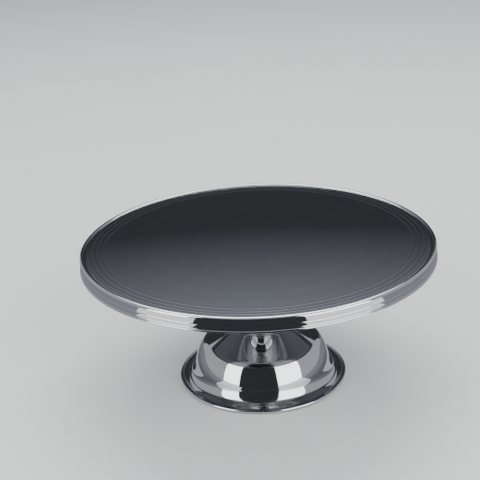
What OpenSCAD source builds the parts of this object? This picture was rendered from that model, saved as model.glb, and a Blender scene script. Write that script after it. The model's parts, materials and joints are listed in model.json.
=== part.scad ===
// Footed cake stand: a wide spun-steel plate that turns on a ball bearing, on a weighted bell-shaped foot.
// The axis of the stand is Z and the floor is z = 0.

/* [Plate] */
// Diameter over the plate's rim
plate_d = 300; // [260:1:340]
// Height of the rim's crest above the floor
stand_h = 126.4; // [116:0.2:150]
// Thickness of the plate's sheet
plate_t = 1.2; // [1:0.1:1.5]
// Depth of the turned-down skirt, from the rim's crest to its bottom edge
skirt_h = 12.2; // [11:0.1:16]
// Depth of the recessed top below the rim's crest
recess = 1; // [0.6:0.1:1.4]
// Radius of the stiffening disc under the plate
doubler_r = 62; // [50:1:80]

/* [Foot] */
// Diameter over the foot's rolled rim
foot_d = 146.4; // [144:0.2:160]
// Thickness of the foot's sheet
foot_t = 1; // [0.8:0.1:1.2]
// Radius of the bell where its wall turns into the shoulder
shoulder_r = 52.2; // [50:0.1:54]
// Height of the flange's inner edge above the flat rim
flange_rise = 1.8; // [1:0.1:2.5]
// Angle of the bell's sloping top, from the vertical
cone_angle = 62; // [58:1:64]
// Radius of the neck
neck_r = 18; // [17:0.5:19]
// Thickness of the rubber foot ring
rubber_t = 1.8; // [1.8:0.1:2.4]

/* [Bearing] */
// Radius of the spindle
spindle_r = 6; // [5.5:0.1:6]
// Radial clearance of the spindle in its bushes
bush_gap = 0.05; // [0.03:0.01:0.1]
// Radius of a ball
ball_r = 2; // [1.8:0.1:2]
// Number of balls
ball_count = 14; // [8:1:14]
// Clearance between a ball and the grooves it runs in
groove_gap = 0.05; // [0.03:0.01:0.1]

/* [Fasteners] */
// Number of weld studs that hold the hub
stud_count = 4; // [3:1:6]
// Radius of a weld stud
stud_r = 2.5; // [2:0.1:2.5]
// Number of screws that hold the base cover
screw_count = 3; // [3:1:6]
// Radius of a cover screw
screw_r = 2; // [1.5:0.1:2]

/* [Hidden] */
$fn = 96;

ARC_STEPS = 12;      // straight steps along a quarter of a round outline

// Plate
plate_r = plate_d / 2;
plate_z = stand_h - recess;             // the recessed top
plate_under_z = plate_z - plate_t;      // the plate's underside
skirt_z = stand_h - skirt_h;            // the skirt's bottom edge
roll_r = 0.9;                           // radius of the rolled edge under the skirt
bead_rx = 2.4;                          // half width of the rounded rim
bead_rz = 2 * recess;                   // height of the rounded rim's arc
bead_r = plate_r - 0.7 - bead_rx;       // radius of the rounded rim's crest
bead_z = stand_h - bead_rz;
skirt_top_r = bead_r + bead_rx;
skirt_in_r = skirt_top_r - plate_t;
line_depth = 0.25;                      // depth of the two fine lines round the skirt
line_half = 0.3;                        // half their width
line_zs = [stand_h - 0.5 * skirt_h, stand_h - 0.77 * skirt_h];

// Under the plate
doubler_t = 1.5;
doubler_z = plate_under_z - doubler_t;
hub_r = 32;
hub_flange_t = 6;
hub_flange_z = doubler_z - hub_flange_t;
hub_boss_r = 18;
stud_ring_r = 25;
stud_gap = 0.2;
nut_h = 4;
nut_r = 4.6;
washer_t = 1.2;
washer_r = 5;
washer_z = hub_flange_z - washer_t;
nut_z = washer_z - nut_h;
stud_z = nut_z - 1.5;
collar_t = 1;
collar_lip_r = 22;
collar_turn_z = hub_flange_z - 5;       // where the collar's side starts to turn in

// Bearing
ball_ring_r = 13.5;
race_r = 18;
race_in_r = 8;
race_t = 3;
race_gap = 1.6;
ball_z = hub_flange_z - 14.7;
upper_race_z = ball_z + race_gap / 2;
lower_race_z = ball_z - race_gap / 2 - race_t;
boss_z = upper_race_z + race_t;
cage_t = 1;
cage_half = 2.7;
cage_hole_gap = 0.15;

// Column
housing_r = 20;
housing_floor_t = 3;
tube_top_z = lower_race_z - housing_floor_t;
tube_t = 2;
tube_r = 11.5;
tube_in_r = tube_r - tube_t;
housing_z = tube_top_z - 11.2;
housing_rim_z = lower_race_z + 2.3;
collar_lip_z = housing_rim_z - 3;
bush_h = 16;
bush_r = spindle_r + bush_gap;
lower_bush_flange_t = 1;
cover_t = 0.8;
flange_z = rubber_t + cover_t;          // the flange's underside
tube_z = flange_z + 5.4;
lower_bush_z = tube_z - lower_bush_flange_t;
thrust_gap = 0.1;
thrust_t = 1;
thrust_z = lower_bush_z - thrust_gap - thrust_t;
clip_t = 1;
clip_z = thrust_z - clip_t;
groove_depth = 0.6;
clip_r = spindle_r + 2.2;
spindle_z = clip_z - 1;
spindle_head_r = 9;
spindle_head_t = 3;
spindle_head_z = doubler_z - 1 - spindle_head_t;

// Bell: the wall, the shoulder and the neck are round arcs that run into each other without a corner
rim_roll_r = 1.2;
rim_r = foot_d / 2 - rim_roll_r;        // centre of the rolled rim's wire
flange_top_z = flange_z + foot_t;
flat_in_r = rim_r - 3.5;                // inner edge of the flange's flat part
wall_arc_r = 57;
wall_low = 13;                          // slope of the wall at the waist, from the vertical
wall_high = 31;                         // its slope where the shoulder starts
flare_rx = 7.5;
flare_rz = 24;
flare_angle = atan(tan(wall_low) * flare_rz / flare_rx);
wall_mid_r = shoulder_r - wall_arc_r * cos(wall_high);
flare_mid_r = wall_mid_r + wall_arc_r * cos(wall_low) + flare_rx * cos(flare_angle);
flare_mid_z = flange_top_z + flange_rise + flare_rz;
wall_mid_z = flare_mid_z - flare_rz * sin(flare_angle) - wall_arc_r * sin(wall_low);
shoulder_arc_r = 12;
shoulder_mid_r = shoulder_r - shoulder_arc_r * cos(wall_high);
shoulder_mid_z = wall_mid_z + (wall_arc_r - shoulder_arc_r) * sin(wall_high);
neck_arc_r = 16;
neck_mid_r = neck_r + neck_arc_r;
slope_run = shoulder_mid_r + shoulder_arc_r * cos(cone_angle) - neck_mid_r + neck_arc_r * cos(cone_angle);
neck_mid_z = shoulder_mid_z + (shoulder_arc_r + neck_arc_r) * sin(cone_angle) + slope_run / tan(cone_angle);

// Inside the bell
disc_t = 1;
disc_z = flange_z + 18.9;
disc_gap = 0.02;
ballast_r = 46;
ballast_z = flange_z;
nut_pocket_r = 22;
tie_nut_h = 5;
tie_nut_r = 17;
tie_nut_z = tube_z;
tie_washer_t = 1.5;
tie_washer_z = tie_nut_z + tie_nut_h;
tie_washer_r = 20;
pocket_z = tie_washer_z + tie_washer_t;
tube_gap = 0.2;
cover_r = rim_r - 2.5;
cover_z = rubber_t;
screw_ring_r = 34;
screw_head_r = 3.6;
screw_head_h = 1.3;
screw_depth = 9;
rubber_out_r = cover_r - 0.8;
rubber_in_r = rubber_out_r - 6.2;

// Points along an elliptical arc about [cx, cz], from angle a0 to a1
function arc(cx, cz, rx, rz, a0, a1, n = ARC_STEPS) =
    [for (i = [0:n]) let (a = a0 + (a1 - a0) * i / n) [cx + rx * cos(a), cz + rz * sin(a)]];

// A list of points without its first, which repeats the last point of the outline before it
function tail(points) = [for (i = [1:len(points) - 1]) points[i]];

// The same points in the opposite order
function reversed(points) = [for (i = [len(points) - 1:-1:0]) points[i]];

// The bell's outline from its rim to its neck, a depth t inside its outer face
function bell_line(t) = concat(
    [[rim_r, flange_top_z - t], [flat_in_r, flange_top_z - t]],
    arc(flare_mid_r, flare_mid_z, flare_rx + t, flare_rz + t, -90, flare_angle - 180),
    tail(arc(wall_mid_r, wall_mid_z, wall_arc_r - t, wall_arc_r - t, wall_low, wall_high, 8)),
    tail(arc(
        shoulder_mid_r, shoulder_mid_z, shoulder_arc_r - t, shoulder_arc_r - t,
        wall_high, cone_angle, 8
    )),
    arc(neck_mid_r, neck_mid_z, neck_arc_r + t, neck_arc_r + t, cone_angle - 180, -180),
    [[neck_r - t, housing_z]]
);

// The bell's inner radius at a height on its wall
function wall_in_r(z) = wall_mid_r + sqrt(pow(wall_arc_r - foot_t, 2) - pow(z - wall_mid_z, 2));

// The notch of one fine line round the skirt, from its top to its bottom
function skirt_line(r, z) = [[r, z + line_half], [r - line_depth, z], [r, z - line_half]];

// A ring with square edges
module ring(r_out, r_in, z, h) {
    translate([0, 0, z])
        difference() {
            cylinder(r = r_out, h = h);
            translate([0, 0, -1])
                cylinder(r = r_in, h = h + 2);
        }
}

// Its children, repeated round the axis at radius r
module around(count, r, start = 0) {
    for (i = [0:count - 1])
        rotate([0, 0, start + 360 * i / count])
            translate([r, 0, 0])
                children();
}

// Holes for the weld studs through a disc
module stud_holes(z, h) {
    around(stud_count, stud_ring_r, 45)
        translate([0, 0, z - 1])
            cylinder(r = stud_r + stud_gap, h = h + 2);
}

// One bearing ring, with the groove that the balls run in
module race(z) {
    difference() {
        ring(race_r, race_in_r, z, race_t);
        translate([0, 0, ball_z])
            rotate_extrude()
                translate([ball_ring_r, 0])
                    circle(r = ball_r + groove_gap, $fn = 48);
    }
}

module plate() {
    roll_start = acos((skirt_top_r - plate_r + roll_r) / roll_r);
    color("gainsboro")
        rotate_extrude()
            polygon(concat(
                [[0, plate_under_z], [0, plate_z]],
                arc(bead_r, bead_z, bead_rx, bead_rz, 150, 0),
                skirt_line(skirt_top_r, line_zs[0]),
                skirt_line(skirt_top_r, line_zs[1]),
                arc(plate_r - roll_r, skirt_z + roll_r, roll_r, roll_r, roll_start, -180, 18),
                arc(skirt_in_r - 2, plate_under_z - 2, 2, 2, 0, 90)
            ));
}

module plate_doubler() {
    color("silver")
        difference() {
            rotate_extrude()
                polygon([
                    [0, doubler_z], [doubler_r - 1, doubler_z], [doubler_r, doubler_z + 1],
                    [doubler_r, plate_under_z], [0, plate_under_z]
                ]);
            stud_holes(doubler_z, doubler_t);
        }
}

module weld_studs() {
    color("silver")
        around(stud_count, stud_ring_r, 45)
            translate([0, 0, stud_z])
                cylinder(r = stud_r, h = plate_under_z - stud_z);
}

module stud_washers() {
    color("silver")
        around(stud_count, stud_ring_r, 45)
            ring(washer_r, stud_r + stud_gap, washer_z, washer_t);
}

module stud_nuts() {
    color("silver")
        around(stud_count, stud_ring_r, 45)
            difference() {
                translate([0, 0, nut_z])
                    cylinder(r = nut_r, h = nut_h, $fn = 6);
                translate([0, 0, nut_z - 1])
                    cylinder(r = stud_r, h = nut_h + 2);
            }
}

module hub() {
    color("darkgray")
        difference() {
            rotate_extrude()
                polygon([
                    [spindle_r, boss_z], [hub_boss_r - 1, boss_z], [hub_boss_r, boss_z + 1],
                    [hub_boss_r, hub_flange_z], [hub_r, hub_flange_z], [hub_r, doubler_z],
                    [spindle_head_r, doubler_z], [spindle_head_r, spindle_head_z],
                    [spindle_r, spindle_head_z]
                ]);
            stud_holes(hub_flange_z, hub_flange_t);
        }
}

module collar() {
    outer_r = hub_r + collar_t;
    turn_rx = outer_r - collar_lip_r;
    turn_rz = collar_turn_z - housing_rim_z - 2;
    color("whitesmoke")
        rotate_extrude()
            polygon(concat(
                [[hub_r, doubler_z], [outer_r, doubler_z]],
                arc(outer_r - turn_rx, collar_turn_z, turn_rx, turn_rz, 0, -80),
                [[collar_lip_r, collar_turn_z - turn_rz - 2], [collar_lip_r, collar_lip_z]],
                [[collar_lip_r - collar_t, collar_lip_z]],
                arc(outer_r - turn_rx, collar_turn_z, turn_rx - collar_t, turn_rz - collar_t, -90, 0)
            ));
}

module spindle() {
    color("silver")
        difference() {
            union() {
                translate([0, 0, spindle_z])
                    cylinder(r = spindle_r, h = spindle_head_z - spindle_z);
                translate([0, 0, spindle_head_z])
                    cylinder(r = spindle_head_r, h = spindle_head_t);
            }
            ring(spindle_r + 1, spindle_r - groove_depth, clip_z, clip_t);
        }
}

module upper_race() {
    color("slategray")
        race(upper_race_z);
}

module lower_race() {
    color("slategray")
        race(lower_race_z);
}

module ball_cage() {
    color("goldenrod")
        difference() {
            ring(ball_ring_r + cage_half, ball_ring_r - cage_half, ball_z - cage_t / 2, cage_t);
            around(ball_count, ball_ring_r)
                translate([0, 0, ball_z - cage_t])
                    cylinder(r = ball_r + cage_hole_gap, h = 2 * cage_t);
        }
}

module balls() {
    color("lightsteelblue")
        around(ball_count, ball_ring_r)
            translate([0, 0, ball_z])
                sphere(r = ball_r, $fn = 48);
}

module thrust_washer() {
    color("goldenrod")
        ring(tube_in_r, spindle_r, thrust_z, thrust_t);
}

module circlip() {
    color("dimgray")
        difference() {
            ring(clip_r, spindle_r - groove_depth, clip_z, clip_t);
            translate([0, -1.5, clip_z - 1])
                cube([clip_r + 1, 3, clip_t + 2]);
        }
}

module base_bell() {
    color("whitesmoke")
        rotate_extrude()
            union() {
                polygon(concat(bell_line(0), reversed(bell_line(foot_t))));
                translate([rim_r, flange_z])
                    circle(r = rim_roll_r, $fn = 32);
            }
}

module stiffener_disc() {
    color("silver")
        rotate_extrude()
            polygon([
                [tube_r + tube_gap, disc_z], [wall_in_r(disc_z) - disc_gap, disc_z],
                [wall_in_r(disc_z + disc_t) - disc_gap, disc_z + disc_t],
                [tube_r + tube_gap, disc_z + disc_t]
            ]);
}

module column_tube() {
    color("gray")
        ring(tube_r, tube_in_r, tube_z, tube_top_z - tube_z);
}

module bearing_housing() {
    flare_z = tube_top_z + 1;
    color("lightgray")
        rotate_extrude()
            polygon(concat(
                [[tube_r, housing_z]],
                arc(housing_r, housing_z, housing_r - neck_r, flare_z - housing_z, 180, 90),
                [[housing_r, housing_rim_z], [race_r, housing_rim_z], [race_r, lower_race_z]],
                [[spindle_r + 1, lower_race_z], [spindle_r + 1, tube_top_z], [tube_r, tube_top_z]]
            ));
}

module upper_bush() {
    color("darkgoldenrod")
        ring(tube_in_r, bush_r, tube_top_z - bush_h, bush_h);
}

module lower_bush() {
    color("darkgoldenrod")
        union() {
            ring(tube_in_r, bush_r, tube_z, bush_h);
            ring(tube_r - 0.5, bush_r, lower_bush_z, lower_bush_flange_t);
        }
}

module ballast() {
    color([0.22, 0.22, 0.23])
        difference() {
            rotate_extrude()
                polygon([
                    [tube_r + tube_gap, pocket_z], [nut_pocket_r, pocket_z],
                    [nut_pocket_r, ballast_z], [ballast_r, ballast_z],
                    [ballast_r, disc_z - 1.5], [ballast_r - 1.5, disc_z],
                    [tube_r + tube_gap, disc_z]
                ]);
            around(screw_count, screw_ring_r)
                translate([0, 0, ballast_z - 1])
                    cylinder(r = screw_r, h = screw_depth + 1);
        }
}

module tie_washer() {
    color("silver")
        ring(tie_washer_r, tube_r + tube_gap, tie_washer_z, tie_washer_t);
}

module tie_nut() {
    color("silver")
        difference() {
            translate([0, 0, tie_nut_z])
                cylinder(r = tie_nut_r, h = tie_nut_h, $fn = 6);
            translate([0, 0, tie_nut_z - 1])
                cylinder(r = tube_r, h = tie_nut_h + 2);
        }
}

module base_cover() {
    color("silver")
        difference() {
            translate([0, 0, cover_z])
                cylinder(r = cover_r, h = cover_t);
            around(screw_count, screw_ring_r)
                translate([0, 0, cover_z - 1])
                    cylinder(r = screw_r + stud_gap, h = cover_t + 2);
        }
}

module cover_screws() {
    slot_w = 0.9;
    color("dimgray")
        around(screw_count, screw_ring_r)
            difference() {
                union() {
                    translate([0, 0, cover_z - screw_head_h])
                        cylinder(r = screw_head_r, h = screw_head_h);
                    translate([0, 0, cover_z])
                        cylinder(r = screw_r, h = cover_t + screw_depth - 1);
                }
                for (turn = [0, 90])
                    rotate([0, 0, turn])
                        translate([-2, -slot_w / 2, cover_z - screw_head_h - 1])
                            cube([4, slot_w, 1.8]);
            }
}

module rubber_foot() {
    color([0.1, 0.1, 0.1])
        rotate_extrude()
            polygon([
                [rubber_in_r, rubber_t], [rubber_in_r, 0.6], [rubber_in_r + 0.6, 0],
                [rubber_out_r - 0.6, 0], [rubber_out_r, 0.6], [rubber_out_r, rubber_t]
            ]);
}

plate();
plate_doubler();
weld_studs();
stud_washers();
stud_nuts();
hub();
collar();
spindle();
upper_race();
thrust_washer();
circlip();
ball_cage();
balls();
base_bell();
stiffener_disc();
column_tube();
bearing_housing();
lower_race();
upper_bush();
lower_bush();
ballast();
tie_washer();
tie_nut();
base_cover();
cover_screws();
rubber_foot();
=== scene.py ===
"""Looks of the footed cake stand: spun steel on a pale studio floor, in metres.

The seven pieces that show their edges are lathed here with finer rounds, lines and rolled edges
than the CAD has. The other CAD nodes keep their shape and get a material."""

import json
import math

import bmesh
import bpy
from mathutils import Matrix, Vector


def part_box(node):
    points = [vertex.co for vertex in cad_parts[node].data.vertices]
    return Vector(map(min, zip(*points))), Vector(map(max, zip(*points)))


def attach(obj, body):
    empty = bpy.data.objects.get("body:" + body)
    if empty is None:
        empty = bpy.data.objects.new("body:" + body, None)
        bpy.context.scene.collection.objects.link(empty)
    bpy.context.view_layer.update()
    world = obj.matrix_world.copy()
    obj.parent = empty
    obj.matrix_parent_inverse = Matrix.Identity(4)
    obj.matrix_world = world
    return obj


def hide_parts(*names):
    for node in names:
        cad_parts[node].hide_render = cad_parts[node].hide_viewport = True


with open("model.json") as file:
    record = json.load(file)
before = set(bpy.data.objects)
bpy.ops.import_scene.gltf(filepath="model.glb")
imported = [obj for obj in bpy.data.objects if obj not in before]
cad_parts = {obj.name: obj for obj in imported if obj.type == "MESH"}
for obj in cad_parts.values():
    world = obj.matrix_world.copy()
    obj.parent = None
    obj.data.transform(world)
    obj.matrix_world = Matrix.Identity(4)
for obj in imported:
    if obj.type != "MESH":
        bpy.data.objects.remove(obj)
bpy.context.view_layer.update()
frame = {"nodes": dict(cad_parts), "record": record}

MM = 0.001
SEGMENTS = 256  # round a lathed piece
FINE_SEGMENTS = 320  # round the plate and the bell
SHARP_EDGE = math.radians(32)  # faces that meet at more than this have a sharp edge
STRAIGHT = 155  # two sides of an outline at more than this many degrees make no corner
NOTHING = 1e-7  # a shorter length counts as zero


# ---------------------------------------------------------------- geometry helpers


def arc(cx, cz, rx, rz, start, end, steps):
    """Points along an elliptical arc about (cx, cz), from angle start to end in degrees."""
    angles = [math.radians(start + (end - start) * i / steps) for i in range(steps + 1)]
    return [(cx + rx * math.cos(a), cz + rz * math.sin(a)) for a in angles]


def softened(points, radius, steps=5):
    """A closed outline with each corner turned into a small round of about radius."""
    longest_cut = 0.4  # of the corner's shorter side
    out = []
    count = len(points)
    for i in range(count):
        p, before, after = Vector(points[i]), Vector(points[i - 1]), Vector(points[(i + 1) % count])
        a, b = before - p, after - p
        on_axis, repeated = p.x < NOTHING, min(a.length, b.length) < NOTHING
        if on_axis or repeated or math.degrees(a.angle(b)) > STRAIGHT:
            out.append(tuple(p))
            continue
        cut = min(radius, longest_cut * a.length, longest_cut * b.length)
        start, end = p + a.normalized() * cut, p + b.normalized() * cut
        for k in range(steps + 1):
            t = k / steps
            q = start * (1 - t) ** 2 + p * 2 * t * (1 - t) + end * t**2
            out.append(tuple(q))
    return out


def new_object(name, verts, faces, body):
    """A smooth mesh piece that rides on a body."""
    mesh = bpy.data.meshes.new(name)
    mesh.from_pydata([tuple(v) for v in verts], [], faces)
    mesh.validate()
    mesh.polygons.foreach_set("use_smooth", [True] * len(mesh.polygons))
    piece = bpy.data.objects.new(name, mesh)
    bpy.context.scene.collection.objects.link(piece)
    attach(piece, body)
    return piece


def outward(piece):
    """Turns the faces so that their normals point out of the solid, and marks the real edges."""
    bm = bmesh.new()
    bm.from_mesh(piece.data)
    bmesh.ops.recalc_face_normals(bm, faces=bm.faces)
    bm.to_mesh(piece.data)
    bm.free()
    piece.data.set_sharp_from_angle(angle=SHARP_EDGE)


def lathe(name, outline, body, segments=SEGMENTS):
    """A closed outline of (radius, height) points turned about Z. A point on the axis is a pole."""
    rings, verts = [], []
    for r, z in outline:
        if r < NOTHING:
            rings.append([len(verts)] * segments)
            verts.append((0.0, 0.0, z))
            continue
        first = len(verts)
        for k in range(segments):
            a = 2 * math.pi * k / segments
            verts.append((r * math.cos(a), r * math.sin(a), z))
        rings.append(list(range(first, first + segments)))
    faces = []
    for low, high in zip(rings, rings[1:] + rings[:1]):
        for k in range(segments):
            n = (k + 1) % segments
            corners = []
            for v in (low[k], low[n], high[n], high[k]):
                if v not in corners:
                    corners.append(v)
            if len(corners) > 2:
                faces.append(corners)
    piece = new_object(name, verts, faces, body)
    outward(piece)
    return piece


def finish_piece(piece, material, slot, *nodes):
    """Gives a piece its material and hides the CAD nodes that it stands for. The slot is not used.
    """
    piece.data.materials.clear()
    piece.data.materials.append(material)
    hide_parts(*nodes)


# ---------------------------------------------------------------- materials

PATTERN_LOW, PATTERN_HIGH = 0.3, 0.7  # nearly all of a noise pattern lies between these


def nodes_of(name):
    """A new node material, with its tree and its shader."""
    material = bpy.data.materials.new(name)
    material.use_nodes = True
    tree = material.node_tree
    shader = tree.nodes["Principled BSDF"]
    return material, tree, shader


def object_vector(tree):
    return tree.nodes.new("ShaderNodeTexCoord").outputs["Object"]


def turned_coordinates(tree):
    """(radius, height) of each point: a pattern on it runs round the axis like lathe marks."""
    split = tree.nodes.new("ShaderNodeSeparateXYZ")
    flat = tree.nodes.new("ShaderNodeCombineXYZ")
    length = tree.nodes.new("ShaderNodeVectorMath")
    joined = tree.nodes.new("ShaderNodeCombineXYZ")
    length.operation = "LENGTH"
    link = tree.links.new
    link(object_vector(tree), split.inputs[0])
    link(split.outputs["X"], flat.inputs["X"])
    link(split.outputs["Y"], flat.inputs["Y"])
    link(flat.outputs[0], length.inputs[0])
    link(length.outputs["Value"], joined.inputs["X"])
    link(split.outputs["Z"], joined.inputs["Y"])
    return joined.outputs[0]


def noise(tree, vector, scale, detail=3.0, rough=0.55, dimensions="3D"):
    """A noise pattern with about scale spots to a metre."""
    texture = tree.nodes.new("ShaderNodeTexNoise")
    texture.noise_dimensions = dimensions
    texture.inputs["Scale"].default_value = scale
    texture.inputs["Detail"].default_value = detail
    texture.inputs["Roughness"].default_value = rough
    tree.links.new(vector, texture.inputs["Vector"])
    return texture.outputs["Fac"]


def between(tree, value, low, high, at_low=PATTERN_LOW, at_high=PATTERN_HIGH):
    """Maps a pattern's range at_low to at_high onto the range low to high."""
    ranged = tree.nodes.new("ShaderNodeMapRange")
    ranged.inputs["From Min"].default_value = at_low
    ranged.inputs["From Max"].default_value = at_high
    ranged.inputs["To Min"].default_value = low
    ranged.inputs["To Max"].default_value = high
    tree.links.new(value, ranged.inputs["Value"])
    return ranged.outputs["Result"]


def tint(tree, value, dark, light):
    """Colours a pattern from dark to light."""
    ramp = tree.nodes.new("ShaderNodeValToRGB")
    ramp.color_ramp.elements[0].color = (*dark, 1)
    ramp.color_ramp.elements[1].color = (*light, 1)
    ramp.color_ramp.elements[0].position = PATTERN_LOW
    ramp.color_ramp.elements[1].position = PATTERN_HIGH
    tree.links.new(value, ramp.inputs["Fac"])
    return ramp.outputs["Color"]


def bump(tree, height, strength, distance):
    node = tree.nodes.new("ShaderNodeBump")
    node.inputs["Strength"].default_value = strength
    node.inputs["Distance"].default_value = distance
    tree.links.new(height, node.inputs["Height"])
    return node.outputs["Normal"]


def spun_steel(name, dark, light, rough, lines, depth, anisotropic=0.0):
    """Steel spun round the axis: turned lines, faint smudges, and a direction to its gloss."""
    band_width = 14  # turned lines in a band of colour
    smudges = 18.0  # to a metre
    smudge_share, line_share = 0.5, 0.15  # of the roughness range
    material, tree, shader = nodes_of(name)
    link = tree.links.new
    turned = turned_coordinates(tree)
    fine = noise(tree, turned, lines, 4.0, 0.6, "2D")
    smears = noise(tree, object_vector(tree), smudges, 4.0, 0.6)
    bands = noise(tree, turned, lines / band_width, 2.0, 0.5, "2D")
    link(tint(tree, bands, dark, light), shader.inputs["Base Color"])
    span = rough[1] - rough[0]
    mixed = tree.nodes.new("ShaderNodeMath")
    mixed.operation = "MULTIPLY_ADD"
    link(between(tree, fine, -1.0, 1.0), mixed.inputs[0])
    mixed.inputs[1].default_value = line_share * span
    link(between(tree, smears, rough[0], rough[0] + smudge_share * span), mixed.inputs[2])
    link(mixed.outputs[0], shader.inputs["Roughness"])
    link(bump(tree, fine, 1.0, depth), shader.inputs["Normal"])
    shader.inputs["Metallic"].default_value = 1.0
    if anisotropic:
        tangent = tree.nodes.new("ShaderNodeTangent")
        tangent.direction_type = "RADIAL"
        tangent.axis = "Z"
        shader.inputs["Anisotropic"].default_value = anisotropic
        link(tangent.outputs[0], shader.inputs["Tangent"])
    return material


def plain_metal(name, dark, light, rough, grain, depth):
    """Rolled, ground or cast metal with an even grain."""
    blotch_width = 12  # grains in a blotch of colour
    material, tree, shader = nodes_of(name)
    link = tree.links.new
    where = object_vector(tree)
    speckle = noise(tree, where, grain, 5.0, 0.6)
    blotch = noise(tree, where, grain / blotch_width, 3.0, 0.5)
    link(tint(tree, blotch, dark, light), shader.inputs["Base Color"])
    link(between(tree, speckle, rough[0], rough[1]), shader.inputs["Roughness"])
    link(bump(tree, speckle, 0.6, depth), shader.inputs["Normal"])
    shader.inputs["Metallic"].default_value = 1.0
    return material


def painted_iron(name, dark, light):
    """Sand-cast iron under black paint: fine pits and a slow change of shade."""
    material, tree, shader = nodes_of(name)
    link = tree.links.new
    where = object_vector(tree)
    pits = noise(tree, where, 900.0, 5.0, 0.65)
    blotch = noise(tree, where, 40.0)
    link(tint(tree, blotch, dark, light), shader.inputs["Base Color"])
    link(between(tree, pits, 0.42, 0.62), shader.inputs["Roughness"])
    link(bump(tree, pits, 0.7, 0.0002), shader.inputs["Normal"])
    return material


def matt_rubber(name, dark, light):
    """Rubber with a moulded grain and a little dust."""
    material, tree, shader = nodes_of(name)
    link = tree.links.new
    where = object_vector(tree)
    grain = noise(tree, where, 1500.0, 4.0, 0.6)
    dust = noise(tree, where, 60.0, 4.0, 0.6)
    link(tint(tree, dust, dark, light), shader.inputs["Base Color"])
    link(between(tree, grain, 0.55, 0.8), shader.inputs["Roughness"])
    link(bump(tree, grain, 0.5, 0.00008), shader.inputs["Normal"])
    shader.inputs["Specular IOR Level"].default_value = 0.35
    return material


POLISHED = spun_steel("polished_steel", (0.62, 0.625, 0.645), (0.67, 0.675, 0.69),
                      rough=(0.03, 0.08), lines=900.0, depth=1.2e-6)
SATIN = spun_steel("satin_steel", (0.52, 0.52, 0.53), (0.60, 0.60, 0.61),
                   rough=(0.24, 0.34), lines=2600.0, depth=1e-5, anisotropic=0.55)
UNDERSIDE = spun_steel("spun_underside", (0.40, 0.40, 0.41), (0.46, 0.46, 0.47),
                       rough=(0.16, 0.26), lines=1600.0, depth=8e-6, anisotropic=0.4)
MILL = plain_metal("mill_steel", (0.50, 0.50, 0.51), (0.58, 0.58, 0.59),
                   rough=(0.26, 0.38), grain=900.0, depth=2e-5)
ZINC = plain_metal("zinc_steel", (0.60, 0.61, 0.64), (0.68, 0.69, 0.71),
                   rough=(0.20, 0.34), grain=700.0, depth=2e-5)
BEARING = plain_metal("bearing_steel", (0.50, 0.51, 0.53), (0.57, 0.58, 0.60),
                      rough=(0.08, 0.14), grain=400.0, depth=4e-6)
ALUMINIUM = plain_metal("cast_aluminium", (0.58, 0.59, 0.60), (0.66, 0.67, 0.68),
                        rough=(0.32, 0.46), grain=600.0, depth=5e-5)
BRONZE = plain_metal("bronze", (0.46, 0.30, 0.12), (0.60, 0.42, 0.19),
                     rough=(0.28, 0.42), grain=800.0, depth=4e-5)
IRON = painted_iron("cast_iron", (0.014, 0.014, 0.016), (0.03, 0.03, 0.033))
RUBBER = matt_rubber("black_rubber", (0.012, 0.012, 0.013), (0.034, 0.034, 0.035))

BY_SLOT = {
    "polished_steel": POLISHED,
    "satin_steel": SATIN,
    "mill_steel": MILL,
    "zinc_steel": ZINC,
    "cast_aluminium": ALUMINIUM,
    "bearing_steel": BEARING,
    "bronze": BRONZE,
    "cast_iron": IRON,
    "black_rubber": RUBBER,
}

for part in frame["record"]["subparts"]:
    cad = frame["nodes"][part["node"]]
    cad.data.materials.clear()
    cad.data.materials.append(BY_SLOT[part["material_slot"]])


# ---------------------------------------------------------------- the plate


def outer_radius(node):
    """The largest radius that stays inside a round node's box in both directions."""
    low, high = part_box(node)
    return min(-low.x, -low.y, high.x, high.y)


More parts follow.
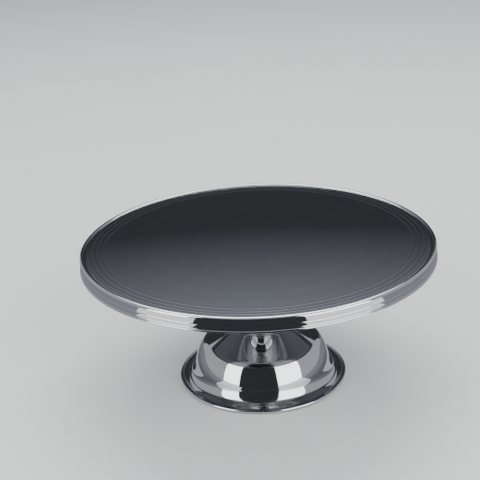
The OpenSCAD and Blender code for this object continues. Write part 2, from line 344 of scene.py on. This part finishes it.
def make_plate():
    """The plate: a recessed top with faint rings, a bead, a lined skirt and a rolled edge."""
    low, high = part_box("plate")
    radius, crest, bottom = outer_radius("plate"), high.z, low.z
    height = crest - bottom
    sheet, recess = 1.2 * MM, 1.0 * MM
    roll, fillet = 0.9 * MM, 2 * MM
    bead_rx, bead_rz = 2.4 * MM, 2.0 * MM
    bead_r, bead_z = radius - 0.7 * MM - bead_rx, crest - bead_rz
    bead_foot = bead_r - bead_rx
    skirt_r = bead_r + bead_rx
    inner_r = skirt_r - sheet
    top_z, under_z = crest - recess, crest - recess - sheet
    ring_radii = (131, 136, 140.2)
    line_heights = (0.5, 0.77)  # share of the height, down from the crest
    steps = 8  # across a line or a ring

    def fine_line(z):
        """A shallow round groove in the skirt."""
        half, depth = 0.35 * MM, 0.14 * MM
        points = []
        for i in range(steps + 1):
            t = i / steps
            dip = depth * math.sin(math.pi * t) ** 2
            points.append((skirt_r - dip, z + half - 2 * half * t))
        return points

    def spin_ring(r):
        """A faint raised ring that the spinning tool left in the recessed top."""
        width, rise = 1.3 * MM, 0.06 * MM
        guard = 0.5 * width + 0.3 * MM  # a loop beside the ring keeps the flat's shading flat
        points = [(r - guard, top_z)]
        for i in range(steps + 1):
            t = i / steps
            points.append((r + width * (t - 0.5), top_z + rise * math.sin(math.pi * t) ** 2))
        return points + [(r + guard, top_z)]

    outline = [(0, under_z), (0, top_z), (30 * MM, top_z)]
    for r in ring_radii:
        outline += spin_ring(r * MM)
    outline += [(bead_foot - 1.6 * MM, top_z), (bead_foot - 1.2 * MM, top_z)]
    outline += [(bead_foot - 0.1 * MM, top_z + 0.05 * MM)]
    outline += arc(bead_r, bead_z, bead_rx, bead_rz, 152, 0, 32)
    for share in line_heights:
        outline += fine_line(crest - share * height)
    roll_start = math.degrees(math.acos((skirt_r - radius + roll) / roll))
    outline += arc(radius - roll, bottom + roll, roll, roll, roll_start, -180, 24)
    outline += arc(inner_r - fillet, under_z - fillet, fillet, fillet, 0, 90, 12)
    outline += [(inner_r - 2.6 * MM, under_z), (100 * MM, under_z), (60 * MM, under_z)]
    plate = lathe("plate_spun", outline, "turntable", FINE_SEGMENTS)
    finish_piece(plate, POLISHED, "polished_steel", "plate")

    plate.data.materials.append(UNDERSIDE)
    for face in plate.data.polygons:
        inside = math.hypot(face.center.x, face.center.y) < inner_r + 0.02 * MM
        if inside and face.center.z < under_z + 0.1 * MM:
            face.material_index = 1


# ---------------------------------------------------------------- under the plate


def make_doubler():
    """The stiffening disc under the plate, with one pressed bead and a bevelled edge."""
    low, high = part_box("plate_doubler")
    radius = outer_radius("plate_doubler")
    bead, bead_foot, bead_top, bead_depth = 46 * MM, 2 * MM, 1 * MM, 0.3 * MM
    bevel = 1 * MM
    outline = [(0, high.z), (0, low.z), (bead - bead_foot, low.z)]
    outline += [(bead - bead_top, low.z + bead_depth), (bead + bead_top, low.z + bead_depth)]
    outline += [(bead + bead_foot, low.z), (radius - bevel, low.z)]
    outline += [(radius, low.z + bevel), (radius, high.z)]
    piece = lathe("doubler_disc", softened(outline, 0.4 * MM), "turntable")
    finish_piece(piece, UNDERSIDE, "mill_steel", "plate_doubler")


def make_collar():
    """The cup on the hub: a wide mouth that turns in to a narrow lip with a beaded edge."""
    low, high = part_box("collar")
    outer = outer_radius("collar")
    sheet = 1 * MM
    lip_r = 22 * MM
    turn_z = high.z - 11 * MM
    turn_rx = outer - lip_r
    rim_z = low.z + 3 * MM
    turn_rz = turn_z - rim_z - 2 * MM
    mid = outer - turn_rx
    lip_top = turn_z - turn_rz - 1.2 * MM
    crease = 0.001 * MM  # two points this close keep softened() from rounding the lip's top
    outline = [(outer - sheet, high.z), (outer, high.z)]
    outline += arc(mid, turn_z, turn_rx, turn_rz, 0, -80, 40)
    outline += [(lip_r, lip_top + crease), (lip_r - crease, lip_top)]
    outline += [(lip_r, low.z + 1.4 * MM), (lip_r + 0.5 * MM, low.z + 0.5 * MM), (lip_r, low.z)]
    outline += [(lip_r - sheet, low.z)]
    outline += arc(mid, turn_z, turn_rx - sheet, turn_rz - sheet, -90, 0, 40)
    piece = lathe("collar_cup", softened(outline, 0.5 * MM), "turntable")
    finish_piece(piece, POLISHED, "polished_steel", "collar")


# ---------------------------------------------------------------- the foot


def make_bell():
    """The foot in one piece: rolled rim, flange, flare, wall, shoulder, sloping top and neck."""
    low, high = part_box("base_bell")
    sheet, wire = 1 * MM, 1.2 * MM
    rim_r = outer_radius("base_bell") - wire
    flange_z = low.z + wire
    flange_top = flange_z + sheet
    flat_r = rim_r - 3.5 * MM
    shoulder_r, rise, neck_r = 52.2 * MM, 1.8 * MM, 18 * MM
    wall, wall_low, wall_high, cone = 57 * MM, 13, 31, 62
    flare_rx, flare_rz = 7.5 * MM, 24 * MM
    round_r, neck_arc = 12 * MM, 16 * MM

    def cos(angle):
        return math.cos(math.radians(angle))

    def sin(angle):
        return math.sin(math.radians(angle))

    wall_slope = math.tan(math.radians(wall_low))
    flare_angle = math.degrees(math.atan(wall_slope * flare_rz / flare_rx))
    wall_mid = shoulder_r - wall * cos(wall_high)
    flare_mid = wall_mid + wall * cos(wall_low) + flare_rx * cos(flare_angle)
    flare_z = flange_top + rise + flare_rz
    wall_z = flare_z - flare_rz * sin(flare_angle) - wall * sin(wall_low)
    round_mid = shoulder_r - round_r * cos(wall_high)
    round_z = wall_z + (wall - round_r) * sin(wall_high)
    neck_mid = neck_r + neck_arc
    run = round_mid + round_r * cos(cone) - neck_mid + neck_arc * cos(cone)
    neck_z = round_z + (round_r + neck_arc) * sin(cone) + run / math.tan(math.radians(cone))

    def line(t):
        """The bell from its flange to its neck, a depth t inside its outer face."""
        points = [(flat_r + 1.2 * MM, flange_top - t), (flat_r, flange_top - t + 0.06 * MM)]
        flare_end = flare_angle - 180
        points += arc(flare_mid, flare_z, flare_rx + t, flare_rz + t, -87, flare_end, 48)
        points += arc(wall_mid, wall_z, wall - t, wall - t, wall_low, wall_high, 30)[1:]
        points += arc(round_mid, round_z, round_r - t, round_r - t, wall_high, cone, 30)[1:]
        points += arc(neck_mid, neck_z, neck_arc + t, neck_arc + t, cone - 180, -180, 40)
        return points + [(neck_r - t, high.z)]

    rim = arc(rim_r, flange_z, wire, wire, -172, 123, 36)
    piece = lathe("bell_spun", rim + line(0) + line(sheet)[::-1], "base", FINE_SEGMENTS)
    finish_piece(piece, POLISHED, "polished_steel", "base_bell")


def make_housing():
    """The head of the column: it flares from the neck to a cup that holds the lower race."""
    low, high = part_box("bearing_housing")
    outer = outer_radius("bearing_housing")
    neck_r, tube_r, race_r, hole_r = 18 * MM, 11.5 * MM, 18 * MM, 7 * MM
    race_z = high.z - 2.3 * MM
    tube_top = race_z - 3 * MM
    flare_z = tube_top + 1 * MM
    outline = [(tube_r, low.z)]
    outline += arc(outer, low.z, outer - neck_r, flare_z - low.z, 180, 92, 40)
    outline += [(outer, flare_z + 0.4 * MM), (outer, high.z), (race_r, high.z), (race_r, race_z)]
    outline += [(hole_r, race_z), (hole_r, tube_top), (tube_r, tube_top)]
    piece = lathe("housing_flare", softened(outline, 0.4 * MM), "base")
    finish_piece(piece, SATIN, "satin_steel", "bearing_housing")


def make_rubber_foot():
    """The ring that the stand rests on, with lands and narrow grooves underneath."""
    low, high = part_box("rubber_foot")
    outer, inner = outer_radius("rubber_foot"), 62.5 * MM
    lands, bevel, groove = 4, 0.6 * MM, 0.35 * MM
    pitch = (outer - inner - 2 * bevel) / lands
    outline = [(inner, high.z), (inner, low.z + bevel), (inner + bevel, low.z)]
    for i in range(lands):
        r = inner + bevel + pitch * i
        outline += [(r + 0.7 * pitch, low.z), (r + 0.75 * pitch, low.z + groove)]
        outline += [(r + 0.95 * pitch, low.z + groove), (r + pitch, low.z)]
    outline += [(outer, low.z + bevel), (outer, high.z)]
    piece = lathe("foot_ring", softened(outline, 0.12 * MM, 3), "base")
    finish_piece(piece, RUBBER, "black_rubber", "rubber_foot")


def make_cover():
    """The pressed base cover, with a raised middle and one raised bead."""
    low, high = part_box("base_cover")
    radius = outer_radius("base_cover")
    lift = 0.35 * MM
    outline = [(0, high.z), (0, low.z + lift), (18 * MM, low.z + lift), (19.5 * MM, low.z)]
    outline += [(44 * MM, low.z), (45 * MM, low.z + lift)]
    outline += [(49 * MM, low.z + lift), (50 * MM, low.z)]
    outline += [(radius, low.z), (radius, high.z)]
    piece = lathe("cover_disc", softened(outline, 0.5 * MM), "base")
    finish_piece(piece, MILL, "mill_steel", "base_cover")


make_plate()
make_doubler()
make_collar()
make_bell()
make_housing()
make_rubber_foot()
make_cover()


# ---------------------------------------------------------------- studio

VIEW_ELEVATION = math.radians(22.64)
VIEW_DISTANCE = 0.899
VIEW_ROLL = math.radians(2.5)
FOCAL_PIXELS = 1060
FRAME_PIXELS = 480
SENSOR_WIDTH = 36
# The plate's centre sits this far right of the picture's middle and below it, as tangents.
AIM_RIGHT = 17.3 / FOCAL_PIXELS
AIM_DOWN = 14.2 / FOCAL_PIXELS
LIGHT_AIM = 0.06  # the height that the softboxes point at
FLOOR_SIDE = 20  # half of the floor's width
ON_FLOOR = (0.0006, 0.0006)  # the heights of a card that lies just above the floor


def make_camera():
    """Looks along +Y, down at the stand, with the slight roll of the pictured stand."""
    target = Vector((0, 0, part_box("plate")[0].z))
    e = VIEW_ELEVATION
    forward = Vector((0, math.cos(e), -math.sin(e)))
    up = Vector((0, math.sin(e), math.cos(e)))
    right = Vector((1, 0, 0))
    place = target - forward * VIEW_DISTANCE
    forward = (forward - right * AIM_RIGHT + up * AIM_DOWN).normalized()
    right = forward.cross(up).normalized()
    up = right.cross(forward)
    rolled_right = right * math.cos(VIEW_ROLL) - up * math.sin(VIEW_ROLL)
    rolled_up = up * math.cos(VIEW_ROLL) + right * math.sin(VIEW_ROLL)
    data = bpy.data.cameras.new("camera")
    data.sensor_width = SENSOR_WIDTH
    data.lens = FOCAL_PIXELS / FRAME_PIXELS * SENSOR_WIDTH
    data.clip_end = 50
    camera = bpy.data.objects.new("camera", data)
    axes = Matrix((rolled_right, rolled_up, -forward)).transposed()
    camera.matrix_world = Matrix.Translation(place) @ axes.to_4x4()
    bpy.context.scene.collection.objects.link(camera)
    bpy.context.scene.camera = camera


def make_floor():
    s = FLOOR_SIDE
    mesh = bpy.data.meshes.new("floor")
    mesh.from_pydata([(-s, -s, 0), (s, -s, 0), (s, s, 0), (-s, s, 0)], [], [(0, 1, 2, 3)])
    floor = bpy.data.objects.new("floor", mesh)
    bpy.context.scene.collection.objects.link(floor)
    material, tree, shader = nodes_of("pale_floor")
    grain = noise(tree, object_vector(tree), 6.0, 2.0)
    shade = tint(tree, grain, (0.85, 0.85, 0.85), (0.87, 0.87, 0.87))
    tree.links.new(shade, shader.inputs["Base Color"])
    shader.inputs["Roughness"].default_value = 0.9
    mesh.materials.append(material)


def area_light(name, azimuth, elevation, distance, size, power):
    """A softbox seen from the stand at that azimuth (0 is the camera's side) and elevation."""
    a, e = math.radians(azimuth), math.radians(elevation)
    side = Vector((math.sin(a) * math.cos(e), -math.cos(a) * math.cos(e), math.sin(e)))
    place = side * distance
    place.z += LIGHT_AIM
    data = bpy.data.lights.new(name, "AREA")
    data.shape = "RECTANGLE"
    data.size, data.size_y = size
    data.energy = power
    light = bpy.data.objects.new(name, data)
    turn = (Vector((0, 0, LIGHT_AIM)) - place).to_track_quat("-Z", "Y")
    light.matrix_world = Matrix.Translation(place) @ turn.to_matrix().to_4x4()
    light.visible_camera = False
    bpy.context.scene.collection.objects.link(light)


def flag(name, radii, heights, azimuth, half_angle, shade, fade=None):
    """A curved dark card that only reflections see.

    Its two long edges are at the radii and the heights, so it stands where the radii are the same
    and lies where the heights are. With fade = (low, high, shade), it grows paler from the height
    low to the height high."""
    steps = 16
    verts, faces = [], []
    for i in range(steps + 1):
        a = math.radians(azimuth + half_angle * (2 * i / steps - 1))
        for r, z in zip(radii, heights):
            verts.append((r * math.sin(a), -r * math.cos(a), z))
    for i in range(steps):
        faces.append((2 * i, 2 * i + 1, 2 * i + 3, 2 * i + 2))
    mesh = bpy.data.meshes.new(name)
    mesh.from_pydata(verts, [], faces)
    card = bpy.data.objects.new(name, mesh)
    bpy.context.scene.collection.objects.link(card)
    material, tree, shader = nodes_of(name)
    if fade:
        low, high, pale = fade
        split = tree.nodes.new("ShaderNodeSeparateXYZ")
        tree.links.new(object_vector(tree), split.inputs[0])
        pattern = between(tree, split.outputs["Z"], PATTERN_LOW, PATTERN_HIGH, low, high)
        shades = (shade, pale)
    else:
        pattern = noise(tree, object_vector(tree), 200.0)
        shades = (0.93 * shade, 1.07 * shade)
    cloth = [(0.97 * c, c, 1.12 * c) for c in shades]  # a slightly blue black
    tree.links.new(tint(tree, pattern, *cloth), shader.inputs["Base Color"])
    shader.inputs["Roughness"].default_value = 1.0
    shader.inputs["Specular IOR Level"].default_value = 0.0
    mesh.materials.append(material)
    card.visible_camera = False
    card.visible_diffuse = False
    card.visible_shadow = False


def make_world():
    world = bpy.data.worlds.new("studio")
    bpy.context.scene.world = world
    world.use_nodes = True
    background = world.node_tree.nodes["Background"]
    background.inputs["Color"].default_value = (0.92, 0.95, 1.0, 1)
    background.inputs["Strength"].default_value = 0.55


make_camera()
make_floor()
make_world()
area_light("softbox_left", azimuth=-53, elevation=24, distance=1.5, size=(0.8, 1.4), power=13)
area_light("softbox_right", azimuth=44, elevation=24, distance=1.5, size=(1.2, 1.4), power=19)
area_light("softbox_top", azimuth=180, elevation=62, distance=1.9, size=(1.8, 1.2), power=26)
flag("flag_front", (0.6, 0.6), (0.0, 0.75), azimuth=-8, half_angle=30, shade=0.035)
flag("flag_behind", (0.9, 0.9), (0.0, 0.8), azimuth=180, half_angle=37, shade=0.032,
     fade=(0.46, 0.72, 0.26))
flag("flag_floor", (0.1, 0.6), ON_FLOOR, azimuth=-5.5, half_angle=27.5, shade=0.03)
flag("flag_floor_left", (0.1, 2.0), ON_FLOOR, azimuth=-106, half_angle=40, shade=0.2)
flag("flag_floor_right", (0.1, 2.0), ON_FLOOR, azimuth=106, half_angle=40, shade=0.2)
flag("flag_floor_behind", (0.1, 0.9), ON_FLOOR, azimuth=180, half_angle=34, shade=0.05)
